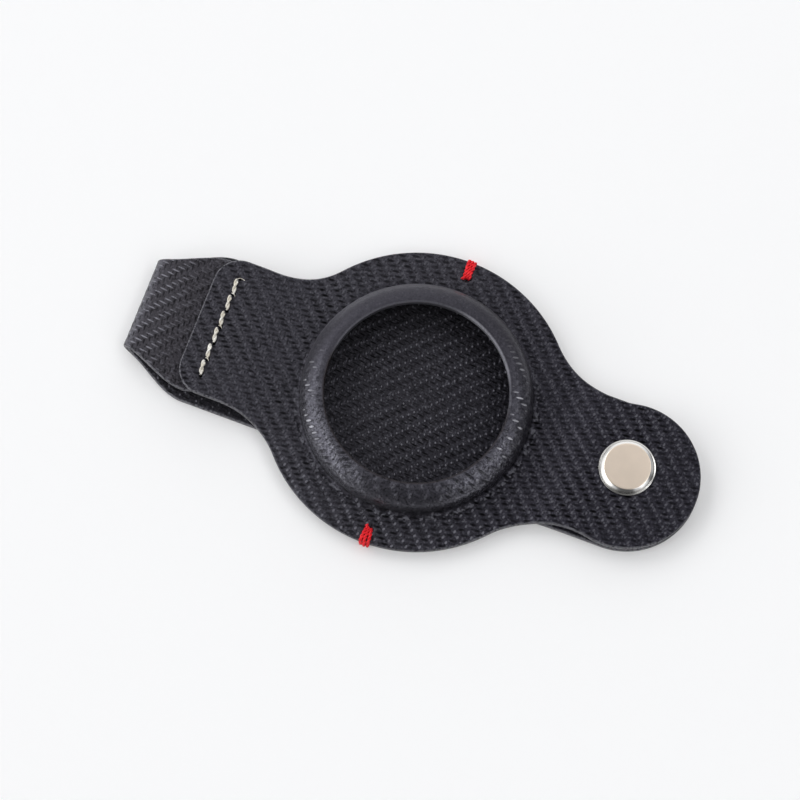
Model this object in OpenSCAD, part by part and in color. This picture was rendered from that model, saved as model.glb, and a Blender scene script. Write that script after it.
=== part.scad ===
// Leather holder for a round tracker tag, lying face up on a table.
// Origin: centre of the tag pocket, on the table. +X: along the holder to the snap. +Z: up.
// Front and back are each two plies of leather. The front is moulded into a round dome with a
// window. The back runs on past the dome, folds back over itself as a key loop and is sewn to
// the front's tab. Two bar tacks tie front and back across the middle; past them the front is a
// flap that peels up when the snap is opened.

/* [Tag pocket] */
// Diameter of the tag that the pocket holds
tag_d = 31.9; // [28:0.1:36]
// Room round the tag
tag_clearance = 0.2; // [0.1:0.05:0.6]
// Diameter of the window
window_d = 27.4; // [20:0.1:28]
// Height of the dome above the front sheet
dome_rise = 5.0; // [4.2:0.1:7]
// Radius of the dome's rounded shoulder
shoulder_r = 3.2; // [2:0.1:3.8]
// Radius of the crease round the foot of the dome
crease_r = 0.5; // [0.2:0.05:1]

/* [Leather] */
// Thickness of the embossed outer ply
outer_ply = 0.6; // [0.5:0.05:0.8]
// Thickness of the lining ply
lining_ply = 0.6; // [0.5:0.05:0.8]
// Air between front and back round the pocket
panel_gap = 0.1; // [0.05:0.05:0.3]
// Width of the flat flange round the dome
flange_w = 5.65; // [4.5:0.05:8]
// How far the back's round edge stays inside the front's
back_inset = 0.3; // [0.1:0.05:0.8]

/* [Snap lobe] */
// Diameter of the lobe's round end
lobe_d = 22; // [18:0.1:26]
// From the disc's edge to the centre of the round end
lobe_reach = 10.2; // [8:0.1:16]
// Radius of the hollow curve at the front's neck
neck_r = 15; // [11:0.5:20]
// Radius of the small inner curve where the back's straight sides leave the disc
back_neck_r = 3; // [1:0.5:6]
// Height of the lobe's back above the table
lobe_lift = 0.7; // [0.5:0.05:1.2]
// Air between front and back at the lobe
lobe_gap = 0.4; // [0.4:0.05:0.8]
// Flat band between the dome and the slope
lobe_flat = 2; // [1:0.1:3]
// Length of the slope from disc to lobe
lobe_slope = 7; // [5:0.5:8]

/* [Tab and key loop] */
// From the disc's edge to the end of the front's tab
tab_reach = 11.8; // [10:0.1:16]
// Width of the tab
tab_w = 21.6; // [18:0.1:24]
// Radius of the tab's two corners
tab_corner_r = 4; // [1:0.1:6]
// Radius of the hollow curve between tab and disc
tab_fillet_r = 12.4; // [8:0.1:16]
// Sideways set of the tab, as sewn
tab_y = -0.3; // [-1:0.1:1]
// Flat band between the dome and the rise to the tab
tab_flat = 0.6; // [0.4:0.1:2]
// From the tab's end to the outside of the loop's fold
loop_out = 9.3; // [7:0.1:16]
// Clear gap inside the loop
loop_gap = 1.4; // [1.2:0.1:3]
// Width of the strap at the fold
fold_w = 14; // [10:0.1:18]
// Width of the strap's lower run
lower_w = 23.4; // [20:0.1:26]
// Width of the strap's upper run where it meets the tab
upper_w = 21.2; // [18:0.1:23]
// How far outside the fold the curve of the strap's sides would begin
taper_out = 1.4; // [0:0.1:3]
// How far inside the tab's end the strap reaches its full width
taper_in = 1.8; // [0:0.1:4]
// Sideways set of the strap, as sewn
strap_y = -0.5; // [-1:0.1:1]
// How far the strap's end lies past the stitch line
strap_tail = 2.9; // [2:0.1:4]

/* [Tab stitching] */
// Number of stitches
stitch_count = 6; // [4:1:6]
// Distance from stitch to stitch
stitch_pitch = 2.67; // [2.4:0.01:2.9]
// Length of a stitch
stitch_len = 2.1; // [1.8:0.05:2.2]
// From the tab's end to the stitch line
stitch_setback = 3.45; // [2.5:0.05:4.5]
// Slant of each stitch, in degrees
stitch_slant = 7; // [0:1:12]
// Thickness of the stitching thread
stitch_thread_d = 0.55; // [0.4:0.05:0.6]

/* [Bar tacks] */
// Place of the tacks along the holder
tack_x = 0.35; // [0:0.05:0.4]
// Length of a tack, inward from the disc's edge
tack_len = 3; // [2:0.1:4]
// Number of threads side by side
tack_threads = 3; // [2:1:3]
// Thickness of the tack thread
tack_thread_d = 0.45; // [0.3:0.05:0.5]
// Angle by which each thread fans out from the next
tack_fan = 4; // [0:1:5]
// Air between thread and leather
thread_clearance = 0.05; // [0.03:0.01:0.1]

/* [Snap] */
// From the lobe's centre to the snap, along the holder
snap_set_x = -0.3; // [-2:0.1:2]
// Sideways set of the snap
snap_y = 1.1; // [-1.5:0.1:1.5]
// Diameter of the cap
cap_d = 8.5; // [8.5:0.1:10]
// Diameter of the cap's flat face
cap_face_d = 7; // [6:0.1:7.4]
// Height of the cap
cap_h = 0.95; // [0.8:0.05:1.3]
// Height of the cap's upright rim
cap_rim_h = 0.35; // [0.3:0.05:0.5]
// Thickness of the pressed metal
metal = 0.2; // [0.15:0.05:0.25]
// Diameter of the socket
socket_d = 7.4; // [7:0.1:8]
// Diameter of the stud's rounded head
stud_d = 3.6; // [3.2:0.1:4]
// Diameter of the stud's neck
neck_d = 2.9; // [2.5:0.1:3]
// Room between the stud's head and the socket's mouth
socket_clearance = 0.25; // [0.2:0.05:0.35]
// Thickness of the spring ring's wire
spring_wire_d = 0.3; // [0.2:0.05:0.3]
// Diameter of the tube that holds the cap
post_d = 2.8; // [2.4:0.1:3]
// Diameter of the tube that holds the stud
rivet_tube_d = 1.8; // [1.4:0.1:2]
// Diameter of the rivet's head under the back
rivet_head_d = 7.5; // [6:0.1:8]
// Room between metal parts, and round the snap in the leather
snap_clearance = 0.1; // [0.05:0.01:0.15]
// Room round the socket and the stud's foot in the lining
nest_clearance = 0.3; // [0.2:0.05:0.5]

/* [Flap hinge] */
// Place of the line about which the front peels up
hinge_x = 1.6; // [1.5:0.1:3]
// Width of the slit that stands for the bend
hinge_slit = 0.2; // [0.1:0.05:0.4]

/* [Hidden] */

leather_colour = [0.15, 0.15, 0.18];
lining_colour = [0.19, 0.18, 0.2];
steel_colour = [0.8, 0.77, 0.73];
cream_colour = [0.87, 0.83, 0.74];
red_colour = [0.83, 0.06, 0.09];

eps = 0.01;
big = 200;
round_fn = 96;
small_fn = 32;
slope_steps = 10;
taper_steps = 12;

// Radii about the pocket's axis
sheet_t = outer_ply + lining_ply;
dome_r = tag_d / 2 + tag_clearance + sheet_t;
window_r = window_d / 2;
disc_r = dome_r + flange_w;
back_r = disc_r - back_inset;

// Stations along the holder
lobe_x = disc_r + lobe_reach;
lobe_r = lobe_d / 2;
snap_x = lobe_x + snap_set_x;
tab_x = -(disc_r + tab_reach);
stitch_x = tab_x + stitch_setback;
strap_end_x = stitch_x + strap_tail;
fold_x = tab_x - loop_out;
slope_start = dome_r + crease_r + lobe_flat;

// Heights
front_z = sheet_t + panel_gap;
front_top = front_z + sheet_t;
dome_top = front_top + dome_rise;
shoulder_z = dome_top - shoulder_r;
strand_z = sheet_t + loop_gap;
tab_z = strand_z + sheet_t;
tab_top = tab_z + sheet_t;
fold_r = strand_z / 2 + sheet_t / 2;
fold_axis_x = fold_x + fold_r;
lobe_back_top = lobe_lift + sheet_t;
lobe_front_z = lobe_back_top + lobe_gap;
lobe_top = lobe_front_z + sheet_t;

// Rises of the front sheet over its height at the pocket, at the tab and at the lobe
tab_rise = tab_z - front_z;
lobe_rise = lobe_front_z - front_z;
tab_slope_start = dome_r + crease_r + tab_flat;

// Snap heights, from the outer ply of the back up to the outer ply of the front
stud_foot_z = lobe_lift + outer_ply;
stud_foot_top = stud_foot_z + metal;
socket_plate_top = lobe_front_z + lining_ply;
socket_plate_z = socket_plate_top - metal;
socket_z = stud_foot_top + snap_clearance;
spring_z = socket_z + metal + spring_wire_d / 2 + eps;
head_z = spring_z + spring_wire_d / 2 + eps;
post_flare_z = socket_plate_z - metal;
head_top = post_flare_z - snap_clearance;
mouth_r = stud_d / 2 + socket_clearance;
spring_r = neck_d / 2 + snap_clearance + spring_wire_d / 2;
chamber_r = spring_r + spring_wire_d / 2 + socket_clearance;
nest_r = socket_d / 2 + nest_clearance;
cap_r = cap_d / 2;
cap_face_r = cap_face_d / 2;
post_r = post_d / 2;
rivet_tube_r = rivet_tube_d / 2;

// Stitches: half the distance between the legs, and how deep a leg goes
stitch_leg_y = (stitch_len - stitch_thread_d) / 2;
stitch_leg = sheet_t - thread_clearance - stitch_thread_d / 2;

// Smooth step from 0 to 1
function ease(t) = t <= 0 ? 0 : t >= 1 ? 1 : (1 - cos(180 * t)) / 2;
function steps(a, b, n) = [for (i = [0 : n]) a + (b - a) * i / n];

// Height of the front sheet's and of the back sheet's underside at x, above that at the pocket
function front_height(x) =
    tab_rise * ease((-x - tab_slope_start) / (-strap_end_x - tab_slope_start))
    + lobe_rise * ease((x - slope_start) / lobe_slope);
function back_height(x) = lobe_lift * ease((x - slope_start) / lobe_slope);
right_stations = concat(steps(slope_start, slope_start + lobe_slope, slope_steps), [big / 2]);
left_stations = concat([-big / 2], steps(strap_end_x, -tab_slope_start, slope_steps));

// Half width of the strap at x, from the fold out to where it is as wide as the tab
taper_start = fold_x - taper_out;
taper_end = tab_x + taper_in;
function strap_half(x, w) =
    fold_w / 2 + (w - fold_w) / 2 * ease((x - taper_start) / (taper_end - taper_start));

// A sheet from one height above its underside to another, as wide as the part
module front_sheet(z0, z1) {
    xs = concat(left_stations, right_stations);
    n = len(xs);
    low = [for (x = xs) [x, front_z + front_height(x) + z0]];
    high = [for (i = [0 : n - 1]) let (x = xs[n - 1 - i]) [x, front_z + front_height(x) + z1]];
    rotate([90, 0, 0]) linear_extrude(big, center = true) polygon(concat(low, high));
}
module back_sheet(z0, z1) {
    xs = concat([-big / 2], right_stations);
    n = len(xs);
    low = [for (x = xs) [x, back_height(x) + z0]];
    high = [for (i = [0 : n - 1]) let (x = xs[n - 1 - i]) [x, back_height(x) + z1]];
    rotate([90, 0, 0]) linear_extrude(big, center = true) polygon(concat(low, high));
}

// Hollow curves of radius f that join a disc of radius r to straight sides h from the axis
module straight_neck(r, h, f) {
    x = sqrt(pow(r + f, 2) - pow(h + f, 2));
    difference() {
        polygon([[0, 0], [x, h + f], [x, -h - f]]);
        for (s = [-1, 1])
            translate([x, s * (h + f)]) circle(f, $fn = round_fn);
    }
}
// Hollow curves of radius f that join a disc of radius r to a smaller disc of radius q at x = d
module round_neck(r, q, d, f) {
    x = (pow(r + f, 2) - pow(q + f, 2) + d * d) / (2 * d);
    y = sqrt(pow(r + f, 2) - x * x);
    difference() {
        polygon([[0, 0], [x, y], [d, 0], [x, -y]]);
        for (s = [-1, 1])
            translate([x, s * y]) circle(f, $fn = round_fn);
    }
}

// Outlines seen from above
module front_outline() {
    corner_x = tab_x + tab_corner_r;
    circle(disc_r, $fn = round_fn);
    round_neck(disc_r, lobe_r, lobe_x, neck_r);
    translate([lobe_x, 0]) circle(lobe_r, $fn = round_fn);
    translate([0, tab_y]) {
        mirror([1, 0]) straight_neck(disc_r, tab_w / 2, tab_fillet_r);
        translate([corner_x, -tab_w / 2]) square([-corner_x, tab_w]);
        translate([tab_x, -tab_w / 2 + tab_corner_r]) square([-tab_x, tab_w - 2 * tab_corner_r]);
        for (s = [-1, 1])
            translate([corner_x, s * (tab_w / 2 - tab_corner_r)]) circle(tab_corner_r, $fn = round_fn);
    }
}
module back_outline() {
    circle(back_r, $fn = round_fn);
    straight_neck(back_r, lobe_r, back_neck_r);
    translate([0, -lobe_r]) square([lobe_x, lobe_d]);
    translate([lobe_x, 0]) circle(lobe_r, $fn = round_fn);
}
// The strap from the fold to x_end, w wide where it is full
module strap_outline(w, x_end) {
    xs = concat([fold_x], steps(fold_axis_x, taper_end, taper_steps), [x_end]);
    n = len(xs);
    far = [for (x = xs) [x, strap_half(x, w)]];
    near = [for (i = [0 : n - 1]) let (x = xs[n - 1 - i]) [x, -strap_half(x, w)]];
    translate([0, strap_y]) polygon(concat(far, near));
}

// Tall prism of an outline
module prism() {
    translate([0, 0, -big / 2]) linear_extrude(big) children();
}

// One ply of the strap: the lower run, the fold and the upper run, from depth a to depth b
// measured inward from the outside of the loop
module strap_ply(a, b) {
    intersection() {
        prism() strap_outline(lower_w, 0);
        strap_run(a, b, -1);
    }
    intersection() {
        prism() strap_outline(upper_w, strap_end_x);
        strap_run(a, b, 1);
    }
}
module strap_run(a, b, side) {
    translate([fold_axis_x, 0, fold_r]) rotate([90, 0, 0])
        linear_extrude(big, center = true)
            intersection() {
                union() {
                    difference() {
                        circle(fold_r - a, $fn = round_fn);
                        circle(fold_r - b, $fn = round_fn);
                        translate([0, -big / 2]) square(big);
                    }
                    translate([0, side * (fold_r - (a + b) / 2) - (b - a) / 2]) square([big, b - a]);
                }
                translate([-big / 2, side > 0 ? 0 : -big]) square(big);
            }
}

// The solid under the dome's surface, grown inward by k, from height z0
module dome_core(k, z0) {
    rotate_extrude($fn = round_fn) {
        translate([0, z0]) square([dome_r - k, shoulder_z - z0]);
        translate([0, z0]) square([dome_r - shoulder_r, dome_top - k - z0]);
        translate([dome_r - shoulder_r, shoulder_z])
            intersection() {
                circle(shoulder_r - k, $fn = round_fn);
                square(shoulder_r);
            }
    }
}
// Hollow fillet round the foot of the dome
module dome_crease() {
    translate([0, 0, front_top]) rotate_extrude($fn = round_fn)
        difference() {
            translate([dome_r - eps, -eps]) square(crease_r + eps);
            translate([dome_r + crease_r, crease_r]) circle(crease_r, $fn = round_fn);
        }
}

// Places a child once for each thread of a tack, at its inner end
module tack_place(side) {
    for (i = [0 : tack_threads - 1]) {
        k = i - (tack_threads - 1) / 2;
        translate([tack_x + k * (tack_thread_d + thread_clearance), side * (disc_r - tack_len), 0])
            rotate([0, 0, -side * k * tack_fan]) children();
    }
}
// Holes for the tacks' threads, and grooves below that let them lie flush with the back
module tack_cuts() {
    hole_r = tack_thread_d / 2 + thread_clearance;
    for (side = [-1, 1])
        tack_place(side) {
            translate([0, 0, -eps]) cylinder(h = front_top + 2 * eps, r = hole_r, $fn = small_fn);
            translate([-hole_r, side > 0 ? 0 : -tack_len, -eps])
                cube([2 * hole_r, tack_len, tack_thread_d + thread_clearance + eps]);
        }
}
// Places a child once for each stitch, at its middle and along its slant
module each_stitch() {
    for (i = [0 : stitch_count - 1])
        translate([stitch_x, strap_y + ((stitch_count - 1) / 2 - i) * stitch_pitch, 0])
            rotate([0, 0, stitch_slant]) children();
}
module stitch_holes() {
    hole_r = stitch_thread_d / 2 + thread_clearance;
    each_stitch()
        for (s = [-1, 1])
            translate([0, s * stitch_leg_y, strand_z - eps])
                cylinder(h = 2 * (sheet_t + eps), r = hole_r, $fn = small_fn);
}
// Round hole through the lobe for the snap
module snap_hole(r) {
    translate([snap_x, snap_y, 0]) cylinder(h = lobe_top + eps, r = r, $fn = round_fn);
}

// Both plies of the front, from depth a to depth b measured down from its outside
module front_ply(a, b) {
    difference() {
        union() {
            intersection() {
                prism() front_outline();
                front_sheet(sheet_t - b, sheet_t - a);
            }
            dome_core(a, front_top - b);
            if (a == 0) dome_crease();
        }
        dome_core(b, 0);
        cylinder(h = dome_top + eps, r = window_r, $fn = round_fn);
        tack_cuts();
        stitch_holes();
    }
}
module left_of_hinge() {
    translate([hinge_x - hinge_slit / 2 - big, -big / 2, -big / 2]) cube(big);
}
module right_of_hinge() {
    translate([hinge_x + hinge_slit / 2, -big / 2, -big / 2]) cube(big);
}

module back_ply(a, b) {
    difference() {
        union() {
            intersection() {
                prism() back_outline();
                back_sheet(a, b);
            }
            strap_ply(a, b);
        }
        tack_cuts();
        stitch_holes();
    }
}

// Threads lying along Y: a staple with two legs down, and a closed loop in the YZ plane
module thread_bend(d) {
    rotate([90, 0, 90]) rotate_extrude(angle = 90, $fn = small_fn)
        translate([d, 0]) circle(d / 2, $fn = small_fn);
}
module staple(half, leg, d) {
    translate([0, 0, d / 2]) {
        rotate([90, 0, 0]) cylinder(h = 2 * (half - d), r = d / 2, center = true, $fn = small_fn);
        for (turn = [0, 180]) rotate([0, 0, turn]) {
            translate([0, half - d, -d]) thread_bend(d);
            translate([0, half, -d - leg]) cylinder(h = leg, r = d / 2, $fn = small_fn);
        }
    }
}
module thread_loop(y0, y1, z0, z1, d) {
    for (y = [y0, y1])
        translate([0, y, z0 + d])
            cylinder(h = z1 - z0 - 2 * d, r = d / 2, $fn = small_fn);
    for (z = [z0, z1])
        translate([0, y0 + d, z]) rotate([-90, 0, 0])
            cylinder(h = y1 - y0 - 2 * d, r = d / 2, $fn = small_fn);
    translate([0, y1 - d, z1 - d]) thread_bend(d);
    translate([0, y0 + d, z1 - d]) mirror([0, 1, 0]) thread_bend(d);
    translate([0, y1 - d, z0 + d]) mirror([0, 0, 1]) thread_bend(d);
    translate([0, y0 + d, z0 + d]) mirror([0, 1, 0]) mirror([0, 0, 1]) thread_bend(d);
}

module back_outer() {
    color(leather_colour) difference() {
        back_ply(0, outer_ply);
        snap_hole(rivet_tube_r + snap_clearance);
    }
}
module back_lining() {
    color(lining_colour) difference() {
        back_ply(outer_ply, sheet_t);
        snap_hole(nest_r);
    }
}
module front_outer() {
    color(leather_colour) intersection() {
        front_ply(0, outer_ply);
        left_of_hinge();
    }
}
module front_lining() {
    color(lining_colour) intersection() {
        front_ply(outer_ply, sheet_t);
        left_of_hinge();
    }
}
module flap_outer() {
    color(leather_colour) difference() {
        intersection() {
            front_ply(0, outer_ply);
            right_of_hinge();
        }
        snap_hole(post_r + snap_clearance);
    }
}
module flap_lining() {
    color(lining_colour) difference() {
        intersection() {
            front_ply(outer_ply, sheet_t);
            right_of_hinge();
        }
        snap_hole(nest_r);
    }
}

// Lockstitch: the needle thread above and the bobbin thread below meet inside the leather
module tab_needle_thread() {
    color(cream_colour) each_stitch()
        translate([0, 0, tab_top + eps])
            staple(stitch_leg_y, stitch_leg, stitch_thread_d);
}
module tab_bobbin_thread() {
    color(cream_colour) each_stitch()
        translate([0, 0, strand_z - eps]) mirror([0, 0, 1])
            staple(stitch_leg_y, stitch_leg, stitch_thread_d);
}
module bar_tack(side) {
    tack_place(side) rotate([0, 0, side > 0 ? 0 : 180])
        thread_loop(0, tack_len + tack_thread_d / 2 + thread_clearance,
                    tack_thread_d / 2, front_top + tack_thread_d / 2 + eps, tack_thread_d);
}
module bar_tack_far() {
    color(red_colour) bar_tack(1);
}
module bar_tack_near() {
    color(red_colour) bar_tack(-1);
}

// Turns a profile of radius and height about the snap's axis
module turned() {
    translate([snap_x, snap_y, 0]) rotate_extrude($fn = round_fn) children();
}
// Pressed cap with a flat face and a bevelled rim, hollow below
module snap_cap() {
    z0 = lobe_top;
    z1 = lobe_top + cap_rim_h;
    z2 = lobe_top + cap_h;
    color(steel_colour) turned()
        polygon([[0, z2], [cap_face_r, z2], [cap_r, z1], [cap_r, z0], [cap_r - metal, z0],
                 [cap_r - metal, z1 - metal / 2], [cap_face_r - metal / 2, z2 - metal], [0, z2 - metal]]);
}
// Flanged tube that is caught in the cap and clinched under the socket's plate
module snap_post() {
    bore_r = post_r - metal;
    flange_r = cap_r - metal - snap_clearance;
    z_top = lobe_top + metal;
    color(steel_colour) turned()
        polygon([[bore_r, z_top], [flange_r, z_top], [flange_r, lobe_top], [post_r, lobe_top],
                 [post_r, socket_plate_z], [post_r + 2 * metal, socket_plate_z],
                 [post_r + 2 * metal, post_flare_z], [bore_r, post_flare_z]]);
}
// Pressed socket: plate, skirt and turned-in mouth, with a chamber for the spring
module snap_socket() {
    socket_r = socket_d / 2;
    color(steel_colour) turned()
        polygon([[post_r + snap_clearance / 2, socket_plate_top], [socket_r, socket_plate_top],
                 [socket_r, socket_z], [mouth_r, socket_z], [mouth_r, socket_z + metal],
                 [chamber_r + metal, socket_z + metal], [chamber_r + metal, socket_plate_z],
                 [post_r + snap_clearance / 2, socket_plate_z]]);
}
// Open ring of round wire that grips the stud below its head
module snap_spring() {
    color(steel_colour) difference() {
        turned() translate([spring_r, spring_z]) circle(spring_wire_d / 2, $fn = small_fn);
        translate([snap_x, snap_y - spring_wire_d, spring_z - spring_wire_d])
            cube([chamber_r, 2 * spring_wire_d, 2 * spring_wire_d]);
    }
}
// Stud with a foot, a neck and a rounded head, hollow for the rivet's tube
module snap_stud() {
    foot_r = socket_d / 2 - nest_clearance;
    head_r = stud_d / 2;
    round_r = (head_top - head_z) / 2;
    hollow_r = rivet_tube_r + snap_clearance / 2;
    color(steel_colour) turned() difference() {
        union() {
            translate([0, stud_foot_z]) square([foot_r, metal]);
            translate([0, stud_foot_z]) square([neck_d / 2, head_z - stud_foot_z + round_r]);
            translate([0, head_z]) square([head_r - round_r, 2 * round_r]);
            translate([head_r - round_r, head_z + round_r]) circle(round_r, $fn = small_fn);
        }
        translate([0, stud_foot_z - eps]) square([hollow_r, head_z - stud_foot_z]);
    }
}
// Rivet through the back, its tube inside the stud and its low head on the table
module snap_rivet() {
    head_r = rivet_head_d / 2;
    edge_z = lobe_lift - metal;
    color(steel_colour) turned()
        polygon([[0, 0], [head_r - lobe_lift, 0], [head_r, edge_z], [head_r, lobe_lift],
                 [rivet_tube_r, lobe_lift], [rivet_tube_r, head_z - metal], [0, head_z - metal]]);
}

back_outer();
back_lining();
front_outer();
front_lining();
flap_outer();
flap_lining();
tab_needle_thread();
tab_bobbin_thread();
bar_tack_far();
bar_tack_near();
snap_cap();
snap_post();
snap_socket();
snap_spring();
snap_stud();
snap_rivet();
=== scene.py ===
"""Looks of a leather holder for a round tracker tag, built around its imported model.

Lengths in this file are millimetres, and become metres where a mesh is made. A sheet of leather is
laid out as it was cut, in u along the holder and v across it, and then formed: the front over the
dome and up to its tab, the back round the fold of its key loop.
"""
import math

import bpy
import numpy as np
from mathutils import Matrix, Vector
from mathutils.geometry import delaunay_2d_cdt


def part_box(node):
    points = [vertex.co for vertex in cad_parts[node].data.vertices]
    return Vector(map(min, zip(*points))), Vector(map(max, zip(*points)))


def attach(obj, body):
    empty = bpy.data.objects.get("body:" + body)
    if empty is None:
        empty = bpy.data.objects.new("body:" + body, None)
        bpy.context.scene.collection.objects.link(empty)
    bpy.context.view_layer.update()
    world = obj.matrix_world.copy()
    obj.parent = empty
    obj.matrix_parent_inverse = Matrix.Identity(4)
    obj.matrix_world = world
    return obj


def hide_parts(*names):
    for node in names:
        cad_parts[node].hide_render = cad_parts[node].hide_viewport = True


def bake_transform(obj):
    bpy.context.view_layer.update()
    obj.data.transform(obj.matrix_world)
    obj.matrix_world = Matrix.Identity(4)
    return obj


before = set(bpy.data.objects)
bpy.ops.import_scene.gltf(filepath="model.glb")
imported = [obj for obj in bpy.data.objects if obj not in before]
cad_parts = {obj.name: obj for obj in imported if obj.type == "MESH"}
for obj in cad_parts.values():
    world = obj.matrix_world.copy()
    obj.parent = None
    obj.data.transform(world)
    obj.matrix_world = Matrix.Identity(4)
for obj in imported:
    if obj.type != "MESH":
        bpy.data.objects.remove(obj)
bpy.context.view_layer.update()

MM = 0.001


def box_mm(node):
    """Lowest and highest corner of a node of the model, in millimetres."""
    low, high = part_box(node)
    return np.array(low) / MM, np.array(high) / MM


# Sizes read from the model
front_low, front_high = box_mm("front_outer")
flap_high = box_mm("flap_outer")[1]
back_low, back_high = box_mm("back_outer")
cap_low, cap_high = box_mm("snap_cap")

DISC_R = flap_high[1]
BACK_R = back_high[1]
DOME_TOP = front_high[2]
TAB_X = front_low[0]
LOBE_END = flap_high[0]
FOLD_X = back_low[0]
SNAP_X = (cap_low[0] + cap_high[0]) / 2
SNAP_Y = (cap_low[1] + cap_high[1]) / 2

# Leather
PLY = 0.6
SHEET = 2 * PLY
EDGE_ROUND = 0.2
GLUED_ROUND = 0.05
PANEL_GAP = 0.1
FRONT_TOP = SHEET + PANEL_GAP + SHEET

# Dome
WINDOW_R = 13.7
DOME_R = 17.35
SHOULDER_R = 3.2
CREASE_R = 0.5
SHOULDER_Z = DOME_TOP - SHOULDER_R
FLANGE_R = DOME_R + CREASE_R

# Lobe
LOBE_R = 11.0
LOBE_X = LOBE_END - LOBE_R
NECK_R = 15.0
BACK_NECK_R = 3.0
LOBE_FLAT = 2.0
LOBE_SLOPE = 7.0
LOBE_LIFT = 0.7
LOBE_RISE = cap_low[2] - FRONT_TOP

# Tab and key loop
TAB_W = 21.6
TAB_Y = -0.3
TAB_CORNER_R = 4.0
TAB_FILLET_R = 12.4
TAB_FLAT = 0.6
LOOP_GAP = 1.4
FOLD_R = (2 * SHEET + LOOP_GAP) / 2
FOLD_AXIS_X = FOLD_X + FOLD_R
FOLD_END = math.pi * FOLD_R - FOLD_AXIS_X
FOLD_W = 14.0
LOWER_W = 23.4
UPPER_W = 21.2
STRAP_Y = -0.5
TAPER_OUT = 1.4
TAPER_IN = 1.8
HIDDEN_TAPER = 0.5
TAB_TOP = 3 * SHEET + LOOP_GAP
TAB_RISE = TAB_TOP - FRONT_TOP

# Stitches and tacks
STITCHES = 6
STITCH_PITCH = 2.67
STITCH_SLANT = 7.0
STITCH_X = TAB_X + 3.45
HOLE_SIDE = 0.26
HOLE_DEPTH = 0.42
STITCH_THREAD = 0.64
STITCH_HALF_TURN = 1.1
FIBRE_THREAD = 0.10
FIBRE_TURN = 0.8
STRAP_END_X = STITCH_X + 2.9
TACK_X = 0.35
TACK_LEN_FAR = 2.55
TACK_LEN_NEAR = 2.15
TACK_THREADS = 3
TACK_THREAD = 0.56
TACK_TURN = 1.25

# Snap
CAP_FACE_R = 3.5
METAL = 0.2
SOCKET_MOUTH_R = 2.05
NECK_BORE_R = 1.5
SNAP_RINGS = (4.0, 4.2, 4.4, 4.65, 5.0, 5.4)

# Meshes: where rows of points lie in from a sheet's edge, the distance given to all other points, and
# the size of the triangles there
RIM = (0, 0.02, 0.06, 0.12, 0.2, 0.34, 0.6)
RIM_KEEP = 1.0
FRONT_STEP = 0.9
BACK_STEP = 0.8
ROUND_POINTS = 240

# Emboss: width of one cell of the twill, and how far its rows wander
TWILL = 0.662
WEAVE_DRIFT = 0.22

# The shiny top of a raised float (its painted highlights) and the pit in a sunk one (its painted shade),
# on front, back and pocket floor, and the stroke down any float: place along and across it, then half
# length and width, as shares of the float
FRONT_SHINE = (-0.21, 0.17, 0.20, 0.27)
FRONT_PIT = (0.0, 0.0, 0.48, 0.34)
BACK_SHINE = (0.0, 0.05, 0.46, 0.17)
BACK_PIT = (0.30, 0.10, 0.45, 0.26)
LINING_SHINE = (-0.21, 0.17, 0.13, 0.19)
LINING_PIT = (0.0, 0.0, 0.46, 0.19)
STROKE = (0.0, 0.0, 0.24, 0.22)

# Colours, linear. The skins, edges and threads have a dark and a light one
FRONT_SKIN = ((0.0035, 0.0034, 0.0060), (0.0065, 0.0060, 0.0095))
STRAP_SKIN = ((0.015, 0.014, 0.017), (0.021, 0.019, 0.022))
POCKET_SKIN = ((0.0025, 0.0024, 0.0045), (0.0050, 0.0046, 0.0075))
# Painted light: how much the skin is lifted near the tab
TAB_PAINTED_LIGHT = 0.0145
# Painted light and shade on the dome's far side: its top, its pale wall, and its darker right and left
FAR_DOME_PAINTED_TOP = (0.031, 0.030, 0.036)
FAR_DOME_PAINTED_WALL_LIGHT = (0.155, 0.152, 0.170)
FAR_DOME_PAINTED_RIGHT_SHADE = (0.012, 0.011, 0.014)
FAR_DOME_PAINTED_LEFT_SHADE = (0.020, 0.019, 0.024)
# Painted highlight on the dome's left wall
LEFT_WALL_PAINTED_HIGHLIGHT = (0.090, 0.089, 0.102)
# Painted satin sheen on the dome's flanks
SATIN_PAINTED_SHEEN = (0.24, 0.24, 0.265)
# Painted highlights in strokes along the dome's crest
CREST_PAINTED_HIGHLIGHT = (0.50, 0.50, 0.54)
# Pale specks on the grain, painted sparkle highlights
PALE_GRAIN_SPARKLE = (0.10, 0.10, 0.115)
# Painted shade on the strap beside the tab
PAINTED_SHADE_BESIDE_TAB = (0.012, 0.010, 0.010)
# Painted shade in the pits and needle holes
PIT_PAINTED_SHADE = (0.0015, 0.0015, 0.002)
EDGE = ((0.016, 0.016, 0.020), (0.07, 0.07, 0.078))
# Painted highlight on the edges at the tab and the near neck
EDGE_PAINTED_HIGHLIGHT = ((0.05, 0.05, 0.056), (0.19, 0.19, 0.205))
# Painted shade on the window's lip, near side, and painted light on its far side
LIP_PAINTED_SHADE_AND_LIGHT = ((0.016, 0.013, 0.012), (0.070, 0.070, 0.080))
LIT_LIP = (0.19, 0.19, 0.21)
SKIN_SHEEN = (0.84, 0.81, 1.0, 1.0)
BURNISHED_SHEEN = (0.84, 0.83, 1.0, 1.0)
CREAM = ((0.68, 0.63, 0.53), (0.96, 0.94, 0.89))
RED = ((0.80, 0.004, 0.014), (0.98, 0.024, 0.034))
SATIN_STEEL = (0.78, 0.665, 0.555)
TURNED_STEEL = (0.88, 0.87, 0.85)
ROLLED_STEEL = (0.60, 0.59, 0.57)
BRIGHT_STEEL = (0.74, 0.72, 0.69)
FLOOR_WHITE = (0.80, 0.80, 0.804)
ROOM_WHITE = (0.985, 0.99, 1.0)

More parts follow.
